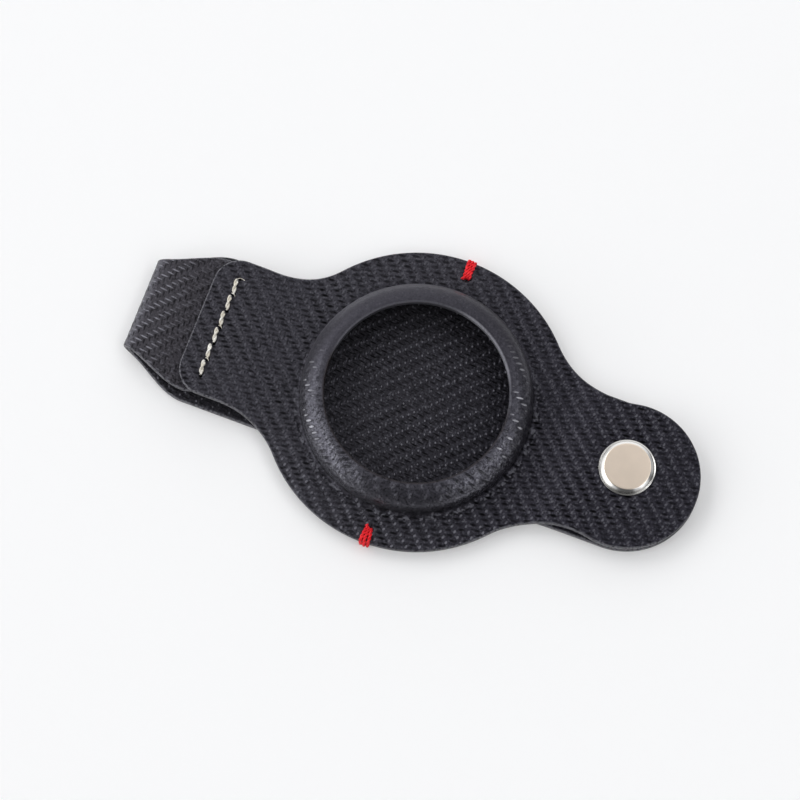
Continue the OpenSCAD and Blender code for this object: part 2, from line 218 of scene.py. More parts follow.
# The turn of the dome's painted light and shade, and of its wear: the way from its near to its far side,
# in degrees from across the holder
LIGHT_AND_WEAR_TURN = 20.72

# Camera, fitted to the photograph: distance and lens, tilt from straight down, and turn
CAMERA_DISTANCE = 494.4
CAMERA_TILT = 14.06
CAMERA_TURN = 20.72
CAMERA_RIGHT = -2.466
CAMERA_UP = 0.586
SENSOR = 36.0
LENS = 148.5

# Floor: half its side, how far it lies below the holder, and its lift towards white
FLOOR_HALF = 1500.0
FLOOR_DROP = 0.03
FLOOR_LIFT = 0.195

# Light: the room's even level, the level that the camera sees, and the banks of light round the
# holder, each with its direction, the angles at which it is full and gone, and its level. Directions
# are to the camera's right, away from it and up
ROOM_LIGHT = 0.18
ROOM_SEEN = 0.95
LIGHT_BANKS = (
    ((0.1, 1.0, 0.40), 12, 60, 0.85),
    ((-1.0, 0.10, 0.45), 12, 48, 1.00),
    ((0.20, 0.30, 1.0), 8, 32, 0.52),
    ((-0.56, 0.30, 0.76), 2, 8, 4.0),
    ((0.52, 0.24, 0.82), 4, 11, 2.5),
    ((-0.54, -0.13, 0.83), 2, 7, 4.5),
    ((0.51, -0.18, 0.84), 3, 8, 5.0),
    ((-0.87, -0.28, 0.42), 10, 30, 1.3),
    ((0.52, -0.40, 0.75), 10, 26, 0.95),
    ((0.92, 0.24, 0.34), 8, 22, 0.28),
    ((0.74, -0.49, 0.46), 6, 18, 0.55),
    ((-0.61, -0.62, 0.49), 5, 18, 0.40),
    ((0.53, -0.68, 0.50), 5, 18, 0.35),
    ((0.0, -1.0, 0.75), 8, 26, -0.09),
)
KEY_LIGHT = 1.0
KEY_DIRECTION = (-0.75, 0.75, 1.0)
KEY_DISTANCE = 1000.0
KEY_SIZE = 500.0


def ease(t):
    """Smooth step from 0 to 1."""
    return (1 - np.cos(np.pi * np.clip(t, 0, 1))) / 2


def soft(distance, width):
    """1 at no distance, falling smoothly to nothing at about twice the width."""
    return np.exp(-((distance / width) ** 2))


# Outlines, as closed loops of points, anticlockwise


def arc(x, y, radius, start, end, step=0.4):
    """Points of an arc between two angles in degrees."""
    count = max(3, int(abs(math.radians(end - start)) * radius / step))
    angles = np.radians(np.linspace(start, end, count))
    return np.column_stack([x + radius * np.cos(angles), y + radius * np.sin(angles)])


def line(a, b, step=0.5):
    """Points of a straight run, without its ends."""
    count = max(2, int(np.hypot(b[0] - a[0], b[1] - a[1]) / step))
    share = np.linspace(0, 1, count + 1)[1:-1, None]
    return np.array(a) + share * (np.array(b) - np.array(a))


def bearing(x, y):
    """Angle of a direction, in degrees."""
    return math.degrees(math.atan2(y, x))


def front_half(edge, side):
    """The front's outline on one side of its axis, from the lobe's tip to the tab's end."""
    neck_x = ((DISC_R + NECK_R) ** 2 - (LOBE_R + NECK_R) ** 2 + LOBE_X**2) / (2 * LOBE_X)
    neck_y = math.sqrt((DISC_R + NECK_R) ** 2 - neck_x**2)
    fillet_y = edge + TAB_FILLET_R
    fillet_x = -math.sqrt((DISC_R + TAB_FILLET_R) ** 2 - fillet_y**2)
    corner = (TAB_X + TAB_CORNER_R, edge - TAB_CORNER_R)
    half = np.concatenate([
        arc(LOBE_X, 0, LOBE_R, 0, bearing(neck_x - LOBE_X, neck_y)),
        arc(neck_x, neck_y, NECK_R, bearing(LOBE_X - neck_x, -neck_y) + 360,
            bearing(-neck_x, -neck_y) + 360)[1:],
        arc(0, 0, DISC_R, bearing(neck_x, neck_y), bearing(fillet_x, fillet_y))[1:],
        arc(fillet_x, fillet_y, TAB_FILLET_R, bearing(-fillet_x, -fillet_y), -90)[1:],
        line((fillet_x, edge), (corner[0], edge)),
        arc(*corner, TAB_CORNER_R, 90, 180),
    ])
    return half * [1, side]


def strap_half(x, width):
    """Half the strap's width at a place along the holder."""
    start = FOLD_X - TAPER_OUT
    end = TAB_X + TAPER_IN
    return FOLD_W / 2 + (width - FOLD_W) / 2 * ease((x - start) / (end - start))


def strap_place(u):
    """Where a point cut at u ends up: its place along the holder, and its angle round the fold."""
    past = np.maximum(FOLD_AXIS_X - u, 0)
    turn = np.minimum(past / FOLD_R, np.pi)
    x = np.where(past > 0, FOLD_AXIS_X - FOLD_R * np.sin(turn), u)
    x = x + np.maximum(past - np.pi * FOLD_R, 0)
    return x, turn


def back_half(side):
    """The back's outline on one side, from the lobe's tip to the strap's end, laid out flat."""
    neck_y = LOBE_R + BACK_NECK_R
    neck_x = math.sqrt((BACK_R + BACK_NECK_R) ** 2 - neck_y**2)
    strap_edge = LOWER_W / 2 + side * STRAP_Y
    strap_x = -math.sqrt(BACK_R**2 - strap_edge**2)
    strap_end = FOLD_AXIS_X - np.pi * FOLD_R - (STRAP_END_X - FOLD_AXIS_X)
    u = np.linspace(strap_x, strap_end, 110)
    x, turn = strap_place(u)
    hidden = HIDDEN_TAPER * ease((x - TAB_X - 1.5) / 2.5)
    width = np.where(turn < np.pi / 2, strap_half(x, LOWER_W), strap_half(x, UPPER_W) - hidden)
    half = np.concatenate([
        arc(LOBE_X, 0, LOBE_R, 0, 90),
        line((LOBE_X, LOBE_R), (neck_x, LOBE_R)),
        arc(neck_x, neck_y, BACK_NECK_R, -90, bearing(-neck_x, -neck_y))[:-1],
        arc(0, 0, BACK_R, bearing(neck_x, neck_y), bearing(strap_x, strap_edge))[:-1],
        np.column_stack([u, width + side * STRAP_Y]),
    ])
    return half * [1, side]


def outline(far, near):
    """A sheet's outline from its two halves, with a straight end between them."""
    return np.concatenate([far, line(far[-1], near[-1]), near[:0:-1]])


def circle(x, y, radius, count=ROUND_POINTS):
    """Points of a whole circle."""
    angles = np.linspace(0, 2 * np.pi, count, endpoint=False)
    return np.column_stack([x + radius * np.cos(angles), y + radius * np.sin(angles)])


# Forming: from the cut leather to the holder, at a depth below the outer face


def rise(x, flat, run):
    """Share of a rise beside the dome, after a flat part and over a run."""
    return ease((x - FLANGE_R - flat) / run)


def front_height(x):
    """Height of the front's outer face above that of the disc's flange."""
    tab_share = rise(-x, TAB_FLAT, -STRAP_END_X - FLANGE_R - TAB_FLAT)
    return TAB_RISE * tab_share + LOBE_RISE * rise(x, LOBE_FLAT, LOBE_SLOPE)


def dome_profile(share):
    """The dome's section, from its lip at 0 to the flange at 1: radius, height and direction out."""
    flat = DOME_R - SHOULDER_R - WINDOW_R
    shoulder = SHOULDER_R * np.pi / 2
    wall = SHOULDER_Z - FRONT_TOP - CREASE_R
    crease = CREASE_R * np.pi / 2
    s = np.clip(share, 0, 1) * (flat + shoulder + wall + crease)
    on_top = s < flat
    a = np.clip((s - flat) / SHOULDER_R, 0, np.pi / 2)
    b = np.clip((s - flat - shoulder - wall) / CREASE_R, 0, np.pi / 2)
    down = np.clip(s - flat - shoulder, 0, wall)
    r = np.where(on_top, WINDOW_R + s, DOME_R - SHOULDER_R + SHOULDER_R * np.sin(a))
    r = r + CREASE_R * (1 - np.cos(b))
    z = SHOULDER_Z + SHOULDER_R * np.cos(a) - down - CREASE_R * np.sin(b)
    angle = np.where(b > 0, np.pi / 2 - b, a)
    return r, z, np.sin(angle), np.cos(angle)


def seam_places(count):
    """Stitches' middles along the seam, from its far end, or with one more, the needle holes."""
    places = STRAP_Y + ((count - 1) / 2 - np.arange(count)) * STITCH_PITCH
    return np.column_stack([np.full(count, STITCH_X), places])


def front_dimples(u, v):
    """How far the front's face is pressed in by needle, tack, snap and moulding die."""
    depth = np.zeros_like(u)
    for x, y in seam_places(STITCHES + 1):
        depth += HOLE_DEPTH * soft(np.hypot(u - x - HOLE_SIDE, v - y), 0.27)
    depth += 0.05 * soft(u - STITCH_X, 0.8) * (np.abs(v - STRAP_Y) < STITCHES * STITCH_PITCH / 2)
    for side, length in ((-1, TACK_LEN_NEAR), (1, TACK_LEN_FAR)):
        depth += 0.4 * soft(np.hypot(u - TACK_X - 0.2, v - side * (DISC_R - length - 0.05)), 0.5)
    from_snap = np.hypot(u - SNAP_X, v - SNAP_Y)
    depth += 0.12 * soft(np.maximum(from_snap - 4.1, 0), 0.6)
    depth += 0.07 * soft(np.hypot(u, v) - FLANGE_R - 0.1, 0.28)
    return depth


def form_front(u, v, depth):
    """Where a point of the front goes: the dome is stretched up, and the rest rises beside it."""
    rho = np.hypot(u, v)
    r, z, out, up = dome_profile((rho - WINDOW_R) / (FLANGE_R - WINDOW_R))
    in_dome = rho < FLANGE_R
    scale = np.where(in_dome, (r - depth * out) / np.maximum(rho, 1e-6), 1)
    z = np.where(in_dome, z - depth * up, FRONT_TOP + front_height(u) - depth)
    return np.column_stack([u * scale, v * scale, z])


def form_back(u, v, depth):
    """Where a point of the back goes: round the fold of the key loop, or up under the lobe."""
    x, turn = strap_place(u)
    bend = FOLD_R - depth
    folded_x = FOLD_AXIS_X - bend * np.sin(turn) + np.maximum(FOLD_AXIS_X - u - np.pi * FOLD_R, 0)
    flat_z = LOBE_LIFT * rise(x, LOBE_FLAT, LOBE_SLOPE) + depth
    z = np.where(turn > 0, FOLD_R - bend * np.cos(turn), flat_z)
    return np.column_stack([np.where(turn > 0, folded_x, u), v, z])


# Meshes


def gap_to(points, loop):
    """Distance from each point to the line of a loop, worked out for some of its runs at a time."""
    along = np.roll(loop, -1, 0) - loop
    square = np.maximum((along**2).sum(1), 1e-12)
    nearest = np.full(len(points), np.inf)
    for first in range(0, len(loop), 64):
        some = slice(first, first + 64)
        off = points[:, None] - loop[some]
        share = np.clip((off * along[some]).sum(2) / square[some], 0, 1)
        gap = np.linalg.norm(off - share[..., None] * along[some], axis=2).min(1)
        nearest = np.minimum(nearest, gap)
    return nearest


def inset(loop, distance):
    """The loop drawn in by a distance, with mitred corners."""
    if not distance:
        return loop
    along = np.roll(loop, -1, 0) - loop
    along /= np.linalg.norm(along, axis=1)[:, None]
    normal = np.column_stack([along[:, 1], -along[:, 0]])
    mitre = normal + np.roll(normal, 1, 0)
    mitre /= (mitre**2).sum(1)[:, None] / 2
    drawn = loop - distance * mitre
    return drawn[gap_to(drawn, loop) > abs(distance) * 0.97]


def inside(points, loop):
    """Which points lie inside a loop."""
    x, y = points[:, 0, None], points[:, 1, None]
    x0, y0 = loop[:, 0], loop[:, 1]
    x1, y1 = np.roll(x0, -1), np.roll(y0, -1)
    crosses = (y0 > y) != (y1 > y)
    with np.errstate(divide="ignore", invalid="ignore"):
        at = x0 + (y - y0) / (y1 - y0) * (x1 - x0)
    return (np.sum(crosses & (x < at), axis=1) % 2) == 1


def grid(low, high, step):
    """Points of a triangular grid over a box."""
    rows = []
    for i, y in enumerate(np.arange(low[1], high[1], step * 0.866)):
        x = np.arange(low[0] + (i % 2) * step / 2, high[0], step)
        rows.append(np.column_stack([x, np.full_like(x, y)]))
    return np.concatenate(rows)


def sheet_plan(border, window, rings, fine, step):
    """Triangles of a cut sheet, closer round guide rings and fine points. Returns the points, their
    distances from the edge, the triangles and the edge loops."""
    loops = [(border, 1)] + ([(window, -1)] if window is not None else [])
    points, rim, edges, borders = [], [], [], []
    count = 0

    def add_loop(loop, distance):
        """Adds a loop at a distance from the sheet's edge, and returns its points' indices."""
        nonlocal count
        n = len(loop)
        points.append(loop)
        rim.append(np.full(n, distance))
        edges.extend((count + i, count + (i + 1) % n) for i in range(n))
        count += n
        return np.arange(count - n, count)

    for loop, sign in loops:
        for distance in RIM:
            indices = add_loop(inset(loop, sign * distance), distance)
            if distance == 0:
                borders.append(indices if sign > 0 else indices[::-1])
    for ring in rings:
        add_loop(ring, RIM_KEEP)
    loose = grid(border.min(0), border.max(0), step)
    if len(fine):
        near = np.min(np.linalg.norm(loose[:, None] - fine[None], axis=2), axis=1) < step * 0.7
        loose = loose[~near]
        loose = np.concatenate([loose, fine])
    keep = inside(loose, border)
    for loop, sign in loops:
        keep &= gap_to(loose, loop) > RIM[-1] + step * 0.45
    if rings:
        reach = [np.linalg.norm(r, axis=1).max() for r in rings]
        rho = np.linalg.norm(loose, axis=1)
        keep &= (rho > max(reach) + step * 0.4) | (rho < min(reach) - step * 0.4)
    if window is not None:
        keep &= ~inside(loose, window)
    loose = loose[keep]
    points.append(loose)
    rim.append(np.full(len(loose), RIM_KEEP))
    points = np.concatenate(points)
    rim = np.concatenate(rim)
    found = delaunay_2d_cdt([Vector(p) for p in points], edges, [], 0, 1e-5)
    triangles = np.array(found[2])
    source = [o[0] if o else -1 for o in found[3]]
    assert -1 not in source, "two edges of a sheet's plan cross"
    triangles = np.array(source)[triangles]
    middle = points[triangles].mean(1)
    keep = inside(middle, border)
    if window is not None:
        keep &= ~inside(middle, window)
    triangles = triangles[keep]
    a, b, c = (points[triangles[:, i]] for i in range(3))
    area = (b[:, 0] - a[:, 0]) * (c[:, 1] - a[:, 1]) - (c[:, 0] - a[:, 0]) * (b[:, 1] - a[:, 1])
    triangles[area < 0] = triangles[area < 0][:, ::-1]
    return points, rim, triangles, borders


def rounding(rim, radius):
    """How far a rounded edge lies below the face, at a distance from the edge."""
    inner = np.clip(radius - rim, 0, radius)
    return radius - np.sqrt(np.maximum(radius**2 - inner**2, 0))


def ply_mesh(name, plan, form, top, bottom, top_round, bottom_round, pressed=None, facing=1):
    """A ply of leather between two depths, with rounded cut edges and what presses its face in. Its
    outer face is up where facing is 1 and down where it is -1."""
    points, rim, triangles, borders = plan
    u, v = points[:, 0], points[:, 1]
    sunk = pressed(u, v) if pressed else np.zeros_like(u)
    upper = form(u, v, top + rounding(rim, top_round) + sunk)
    lower = form(u, v, bottom - rounding(rim, bottom_round))
    n = len(points)
    vertices = [upper, lower]
    cut = [np.column_stack([u, v])] * 2
    edge = [np.clip(1 - rim / RIM[-2], 0, 1)] * 2
    holes = [np.clip(sunk / HOLE_DEPTH, 0, 1), np.zeros(n)]
    faces = [tuple(t) for t in triangles] + [tuple(t[::-1] + n) for t in triangles]
    count = 2 * n
    first = top + top_round
    last = bottom - bottom_round
    for border in borders:
        m = len(border)
        rows = [border]
        for share in (0.33, 0.67):
            vertices.append(form(u[border], v[border], np.full(m, first + share * (last - first))))
            cut.append(np.column_stack([u[border], v[border]]))
            edge.append(np.ones(m))
            holes.append(np.zeros(m))
            rows.append(np.arange(count, count + m))
            count += m
        rows.append(border + n)
        for a, b in zip(rows, rows[1:]):
            for i in range(m):
                j = (i + 1) % m
                faces.append((a[i], b[i], b[j], a[j]))
    if facing < 0:
        faces = [f[::-1] for f in faces]
    obj = mesh_object(name, np.concatenate(vertices), faces)
    mesh = obj.data
    corners = np.zeros(len(mesh.loops), np.int64)
    mesh.loops.foreach_get("vertex_index", corners)
    cut_places = np.concatenate(cut)[corners].astype(np.float32)
    mesh.uv_layers.new(name="cut").data.foreach_set("uv", cut_places.ravel())
    for label, values in (("edge", edge), ("pressed", holes)):
        attribute = mesh.attributes.new(label, "FLOAT", "POINT")
        attribute.data.foreach_set("value", np.concatenate(values).astype(np.float32))
    return obj


def placed(name, data):
    """An object in the scene, from its mesh, camera or light."""
    obj = bpy.data.objects.new(name, data)
    bpy.context.scene.collection.objects.link(obj)
    return obj


def mesh_object(name, vertices, faces):
    """A smooth-shaded object from points in millimetres."""
    mesh = bpy.data.meshes.new(name)
    points = [tuple(p) for p in np.asarray(vertices) * MM]
    mesh.from_pydata(points, [], [tuple(int(i) for i in f) for f in faces])
    mesh.shade_smooth()
    return placed(name, mesh)


def softened(points, radii, steps=5):
    """An open profile with each inner corner rounded to its radius."""
    out = [np.array(points[0], float)]
    for i in range(1, len(points) - 1):
        before, here, after = (np.array(p, float) for p in points[i - 1:i + 2])
        a = (before - here) / np.linalg.norm(before - here)
        b = (after - here) / np.linalg.norm(after - here)
        half = math.acos(max(-1, min(1, float(a @ b)))) / 2
        reach = radii[i - 1] / math.tan(half)
        if reach < 1e-4:
            out.append(here)
            continue
        middle = here + (a + b) / np.linalg.norm(a + b) * radii[i - 1] / math.sin(half)
        start, end = here + a * reach - middle, here + b * reach - middle
        sweep = math.pi - 2 * half
        for k in range(steps + 1):
            t = k / steps
            point = (start * math.sin((1 - t) * sweep) + end * math.sin(t * sweep)) / math.sin(sweep)
            out.append(middle + point)
    out.append(np.array(points[-1], float))
    return out


def turned(name, profile, segments=128):
    """A closed piece turned about the snap's axis from a profile of radius and height."""
    angles = np.linspace(0, 2 * np.pi, segments, endpoint=False)
    vertices, faces, rows = [], [], []
    for r, z in profile:
        if r < 1e-6:
            rows.append([len(vertices)] * segments)
            vertices.append((SNAP_X, SNAP_Y, z))
        else:
            rows.append(list(range(len(vertices), len(vertices) + segments)))
            vertices.extend((SNAP_X + r * math.cos(a), SNAP_Y + r * math.sin(a), z) for a in angles)
    closed = profile[0][0] > 1e-6
    pairs = list(zip(rows, rows[1:])) + ([(rows[-1], rows[0])] if closed else [])
    for a, b in pairs:
        for i in range(segments):
            j = (i + 1) % segments
            face = []
            for k in (a[i], b[i], b[j], a[j]):
                if k not in face:
                    face.append(k)
            faces.append(tuple(face))
    return mesh_object(name, vertices, faces)


# Materials


def math_node(operation):
    """An operator on values that adds a Math node."""
    def added(value, *others):
        return value.nodes.node("Math", {"operation": operation}, [value, *others])
    return added


class Value:
    """A number, vector or colour that varies over a piece, with arithmetic on numbers."""

    def __init__(self, nodes, socket):
        self.nodes = nodes
        self.socket = socket

    __add__ = __radd__ = math_node("ADD")
    __mul__ = __rmul__ = math_node("MULTIPLY")
    __sub__ = math_node("SUBTRACT")
    __truediv__ = math_node("DIVIDE")
    __pow__ = math_node("POWER")
    __abs__ = math_node("ABSOLUTE")
    floor = math_node("FLOOR")
    part = math_node("FRACT")
    above = math_node("GREATER_THAN")
    most = math_node("MAXIMUM")
    cosine = math_node("COSINE")
    sine = math_node("SINE")

    def __rsub__(self, other):
        return (self * -1) + other

    def between(self, low, high):
        """0 at low and 1 at high, with a smooth step between."""
        settings = {"interpolation_type": "SMOOTHSTEP"}
        return self.nodes.node("MapRange", settings, {"Value": self, "From Min": low, "From Max": high})


class Nodes:
    """A tree of nodes, written as expressions."""

    def __init__(self, tree):
        self.tree = tree

    def node(self, kind, settings=None, inputs=None, output=0):
        """Adds a node: its settings, then the values or links of its sockets. Returns one output."""
        made = self.tree.nodes.new(kind if "Node" in kind else "ShaderNode" + kind)
        for key, value in (settings or {}).items():
            setattr(made, key, value)
        named = inputs.items() if isinstance(inputs, dict) else enumerate(inputs or [])
        for key, value in named:
            socket = made.inputs[key]
            if isinstance(value, Value):
                self.tree.links.new(value.socket, socket)
            elif isinstance(value, (tuple, list)) and len(value) == 3 and socket.type == "RGBA":
                socket.default_value = (*value, 1)
            else:
                socket.default_value = value
        return Value(self, made.outputs[output]) if made.outputs else None


class Shader(Nodes):
    """Nodes of a material or of the world."""

    def __init__(self, owner):
        owner.use_nodes = True
        super().__init__(owner.node_tree)
        self.owner = owner
        self.tree.nodes.clear()

    def mix(self, share, a, b):
        """Colour a where share is 0 and b where it is 1."""
        return self.node("Mix", {"data_type": "RGBA"}, {0: share, 6: a, 7: b}, 2)

    def noise(self, scale, detail=2.0):
        """Noise on object coordinates, with a scale in blobs per millimetre."""
        place = self.node("TexCoord", output="Object")
        return self.node("TexNoise", {}, {"Vector": place, "Scale": scale / MM, "Detail": detail})

    def surface(self, colour, roughness, height=None, depth=0.1, constants=None):
        """A surface with a relief of a depth in millimetres, and constants by their sockets' names."""
        inputs = {"Base Color": colour, "Roughness": roughness, **(constants or {})}
        if height is not None:
            inputs["Normal"] = self.node(
                "Bump", {}, {"Strength": 1.0, "Distance": depth * MM, "Height": height})
        return self.node("BsdfPrincipled", {}, inputs)

    def done(self, surface):
        """Gives the surface to the material, and returns the material."""
        self.node("OutputMaterial", {}, {"Surface": surface})
        return self.owner


def new_shader(name):
    return Shader(bpy.data.materials.new(name))


def twill(a, b, top, pit):
    """The embossed weave, over a and b in cells: floats two cells long that step over by one cell
    from row to row. Lengthwise floats lie in hollows. Crosswise ones stand up, with a shiny top
    near one end. Returns the height, the shares of pit and top, and the stroke down the middle of
    a float, on every float and on lengthwise ones."""
    column, row = a.floor(), b.floor()
    fa, fb = a - column, b - row
    lengthwise = (((column + row) / 4).part() * 4).above(1.5)
    second = ((column + row) / 2).part() * 2
    along = fb + lengthwise * (fa - fb)
    across = fa + fb - along
    share = (second + along) / 2 - 0.5
    middle = across - 0.5

    def oval(place):
        along_it = (share - place[0] - middle * 0.10) / place[2]
        return along_it ** 2 + ((middle - place[1] - share * 0.18) / place[3]) ** 2

    hollow = lengthwise * (1 - oval(pit).between(0.10, 1.35))
    shine = (1 - lengthwise) * (1 - oval(top).between(0.35, 1.3))
    stroke = 1 - oval(STROKE).between(0.4, 1.3)
    ridge = (1 - (middle * 2) ** 2) * (1 - (share * 2) ** 2)
    height = ridge * (0.7 - lengthwise * 0.4) - hollow * 0.7 + shine * 0.5
    return height, hollow, shine, stroke, stroke * lengthwise


def cut_weave(s, u, v, lay, top, pit):
    """The weave in the cut leather's own u and v, a little uneven: as on the front, mirrored, or a
    quarter turn round."""
    a = (u + (s.noise(0.30, 1.0) - 0.5) * WEAVE_DRIFT) / TWILL
    b = (v + (s.noise(0.36, 1.0) - 0.5) * WEAVE_DRIFT) / TWILL
    if lay == "mirrored":
        a = a * -1
    elif lay == "quarter":
        a, b = b, a
    return twill(a, b, top, pit)


def far_dome_painted_light(s, rho, right):
    """The dome's matt far side in painted light and shade: dark at the lip, painted pale on the wall,
    painted darker to the left and right.
    """
    outward = rho.between(14.4, 16.6) ** 2
    outward = outward * (1 - rho.between(16.6, 17.1) * right.between(-6.0, 1.0))
    skin = s.mix(outward, FAR_DOME_PAINTED_TOP, FAR_DOME_PAINTED_WALL_LIGHT)
    skin = s.mix(right.between(-1.0, 13.0) * 0.8, skin, FAR_DOME_PAINTED_RIGHT_SHADE)
    return s.mix((right * -1).between(9.5, 14.5) * 0.6, skin, FAR_DOME_PAINTED_LEFT_SHADE)


def edge_colour(s, u, v, rho, right):
    """Fibrous cut edges, paler at the tab and the near neck as a painted highlight, and the window's
    smooth lip, with painted shade on its near side and painted light and a painted highlight on its far
    side."""
    fibres = s.noise(3.0, 3.0).between(0.3, 0.75)
    near_neck = u.between(9.0, 14.0) * (1 - v.between(-9.5, -6.0))
    # Painted highlight: paler edges at the tab and the near neck
    pale = (u * -1).between(13.0, 25.0).most(near_neck * 0.8)
    rim = s.mix(pale, s.mix(fibres, *EDGE), s.mix(fibres, *EDGE_PAINTED_HIGHLIGHT))
    # Painted shade on the lip's near side, painted light on its far side, and a painted highlight at its
    # far right
    lip = s.mix(v.between(0.0, 4.0), *LIP_PAINTED_SHADE_AND_LIGHT)
    lip = s.mix(v.between(5.0, 8.5) * right.between(5.0, 9.0), lip, LIT_LIP)
    return s.mix(rho.between(WINDOW_R + 0.5, WINDOW_R + 1.5), lip, rim)


def leather(name, lay="front", emboss=0.08, pits=0.85, domed=1.0, top=FRONT_SHINE, pit=FRONT_PIT,
            skin=FRONT_SKIN, highlight_polish=0.14, gloss=0.39):
    """Near-black embossed leather with paler, rougher cut edges. Domed leather is matt on the dome's
    far side, with painted light and shade there, and burnished on its near side, most of all on the
    flanks, left and right."""
    s = new_shader(name)
    uv = s.node("UVMap", {"uv_map": "cut"})
    u = s.node("SeparateXYZ", {}, [uv], 0)
    v = s.node("SeparateXYZ", {}, [uv], 1)
    height, hollow, shine, stroke, long_stroke = cut_weave(s, u, v, lay, top, pit)
    on_edge = s.node("Attribute", {"attribute_name": "edge"}, output="Fac").between(0.25, 0.7)
    pressed = s.node("Attribute", {"attribute_name": "pressed"}, output="Fac").between(0.35, 0.9)

    # Parts of the holder
    rho = (u * u + v * v) ** 0.5
    turn = math.radians(LIGHT_AND_WEAR_TURN)
    right = u * math.cos(turn) + v * math.sin(turn)
    far_side = (v * math.cos(turn) - u * math.sin(turn)).between(-4.0, 9.0)
    on_dome = (1 - rho.between(DOME_R - 0.6, FLANGE_R)) * domed
    near_dome = on_dome * (1 - far_side)
    wall = on_dome * rho.between(15.2, 16.6)
    left_wall_highlight = near_dome * rho.between(15.6, 16.8) * (right * -1).between(5.0, 12.0)
    flank = abs(right + 2.0).between(3.5, 9.0) * (1 - right.between(11.5, 15.0) * 0.8)
    near_disc = 1 - v.between(-20.0, -9.0)
    near_tab = (u * -1).between(-26.0, 8.0)
    beside_seam = abs(u + 24.5).between(2.5, 6.0)

    # Relief
    worn = s.noise(0.10, 2.0).between(0.3, 0.7)
    uneven = s.noise(0.9, 1.0).between(0.25, 0.6) * 0.5 + 0.5
    strength = (1 - on_dome * far_side * 0.75) * (1 - on_edge) * (0.7 + worn * 0.5) * uneven
    strength = strength * (0.8 + beside_seam * 0.2) * (1 - wall * 0.6)
    grain = s.noise(4.5, 3.0)
    wrinkles = s.noise(2.0, 4.0) * on_dome * (1 - far_side * 0.8) * (1 - wall * 0.6)
    relief = height * strength + grain * 0.35 + s.noise(1.3, 2.0) * 0.35 + wrinkles * 1.1

    # Skin
    face = s.mix(s.noise(0.06, 3.0).between(0.3, 0.7), *skin)
    # Painted light: the skin is lifted near the tab
    face = s.mix(near_tab, face, tuple(c + TAB_PAINTED_LIGHT for c in skin[1]))
    # Painted light and shade, mostly on the dome's far side
    face = s.mix(on_dome * (0.1 + far_side * 0.9), face, far_dome_painted_light(s, rho, right))
    # Painted highlight on the dome's left wall
    face = s.mix(left_wall_highlight, face, LEFT_WALL_PAINTED_HIGHLIGHT)

    # Polished tops of the weave, partly polish and partly painted highlights, and painted glints round
    # the dome's foot
    polished_and_highlit = shine * strength * (0.55 + near_disc * 0.9 - near_tab * 0.15) * (1 - on_dome * 0.5)
    # Painted glints on the weave round the dome's foot
    at_foot = 1 - abs(rho - FLANGE_R - 0.25).between(0.08, 0.4)
    foot_glints = at_foot * s.noise(1.5, 1.0).between(0.5, 0.6)
    polished_and_highlit = polished_and_highlit.most(foot_glints * (1 - far_side) * domed)
    if lay == "quarter":
        # Painted highlights on the strap, brighter towards the fold, and a painted highlight along the
        # fold's edge
        past_fold = (u * -1).between(FOLD_END + 1.0, FOLD_END + 5.0)
        fold_edge_highlight = 1 - abs(u + FOLD_END - 1.5).between(0.3, 1.1)
        polished_and_highlit = (polished_and_highlit * (2.5 - past_fold * 2.1)).most(fold_edge_highlight * 0.30)
        # Painted shade on the strap beside the tab
        face = s.mix(past_fold * 0.50, face, PAINTED_SHADE_BESIDE_TAB)
    # Painted highlights, with some polish, on the float tops and round the dome's foot
    face = s.mix(polished_and_highlit, face, (highlight_polish, highlight_polish, highlight_polish * 1.14))

    # Painted satin sheen on the dome's flanks, and painted highlights in strokes along its crest
    satin = near_dome * (1 - abs(rho - 15.1).between(0.5, 1.2)) * flank
    satin = satin * s.noise(2.4, 3.0).between(0.44, 0.58) * (1 - (right * -1).between(13.0, 14.6) * 0.5)
    face = s.mix((stroke * 0.50 + 0.30) * satin, face, SATIN_PAINTED_SHEEN)
    to_right = right.between(-6.0, 6.0)
    crest = near_dome * (1 - abs(rho - 15.2 + to_right * 0.5).between(0.35, 0.85))
    crest = crest * (v - to_right * 6.5).between(-13.0, -9.0)
    # Painted highlights: strokes along the dome's crest
    crest_highlight = long_stroke * crest * (0.4 + s.noise(0.8, 1.0).between(0.35, 0.55) * 0.6)
    face = s.mix(crest_highlight, face, CREST_PAINTED_HIGHLIGHT)

    # Fine grain, painted shade in the pits and needle holes, and edges
    fine = s.noise(3.0, 2.0)
    # Pale specks on the grain: painted sparkle highlights
    face = s.mix(fine.between(0.54, 0.72) * (1 - on_dome * 0.6) * 0.55, face, PALE_GRAIN_SPARKLE)
    colour = s.mix(on_edge, face, edge_colour(s, u, v, rho, right))
    smoothed = on_dome * (0.75 - flank * (1 - far_side) * 0.60)
    dark = hollow * strength * (1 - smoothed) * (1 - crest_highlight) * pits
    # Painted shade in the needle holes
    dark = dark.most(pressed)
    dark = dark.most((1 - fine.between(0.30, 0.48)) * (0.65 - on_dome * far_side * 0.45))

    finish = s.surface(colour, 0.31 + grain * 0.16 - shine * 0.06, relief, emboss,
                       {"Specular IOR Level": gloss, "Specular Tint": SKIN_SHEEN})
    if domed:
        burnished = s.surface(colour, 0.21 + grain * 0.10, relief, emboss,
                              {"Specular IOR Level": 1.0, "Specular Tint": BURNISHED_SHEEN})
        share = near_dome * (1 - on_edge) * (flank * 0.75 + 0.25)
        finish = s.node("MixShader", {}, [share, finish, burnished])
    # A near-black shader: painted shade in the pits and needle holes, and the grain's dark specks
    black = s.surface(PIT_PAINTED_SHADE, 0.9, constants={"Specular IOR Level": 0.05})
    return s.done(s.node("MixShader", {}, [dark, finish, black]))


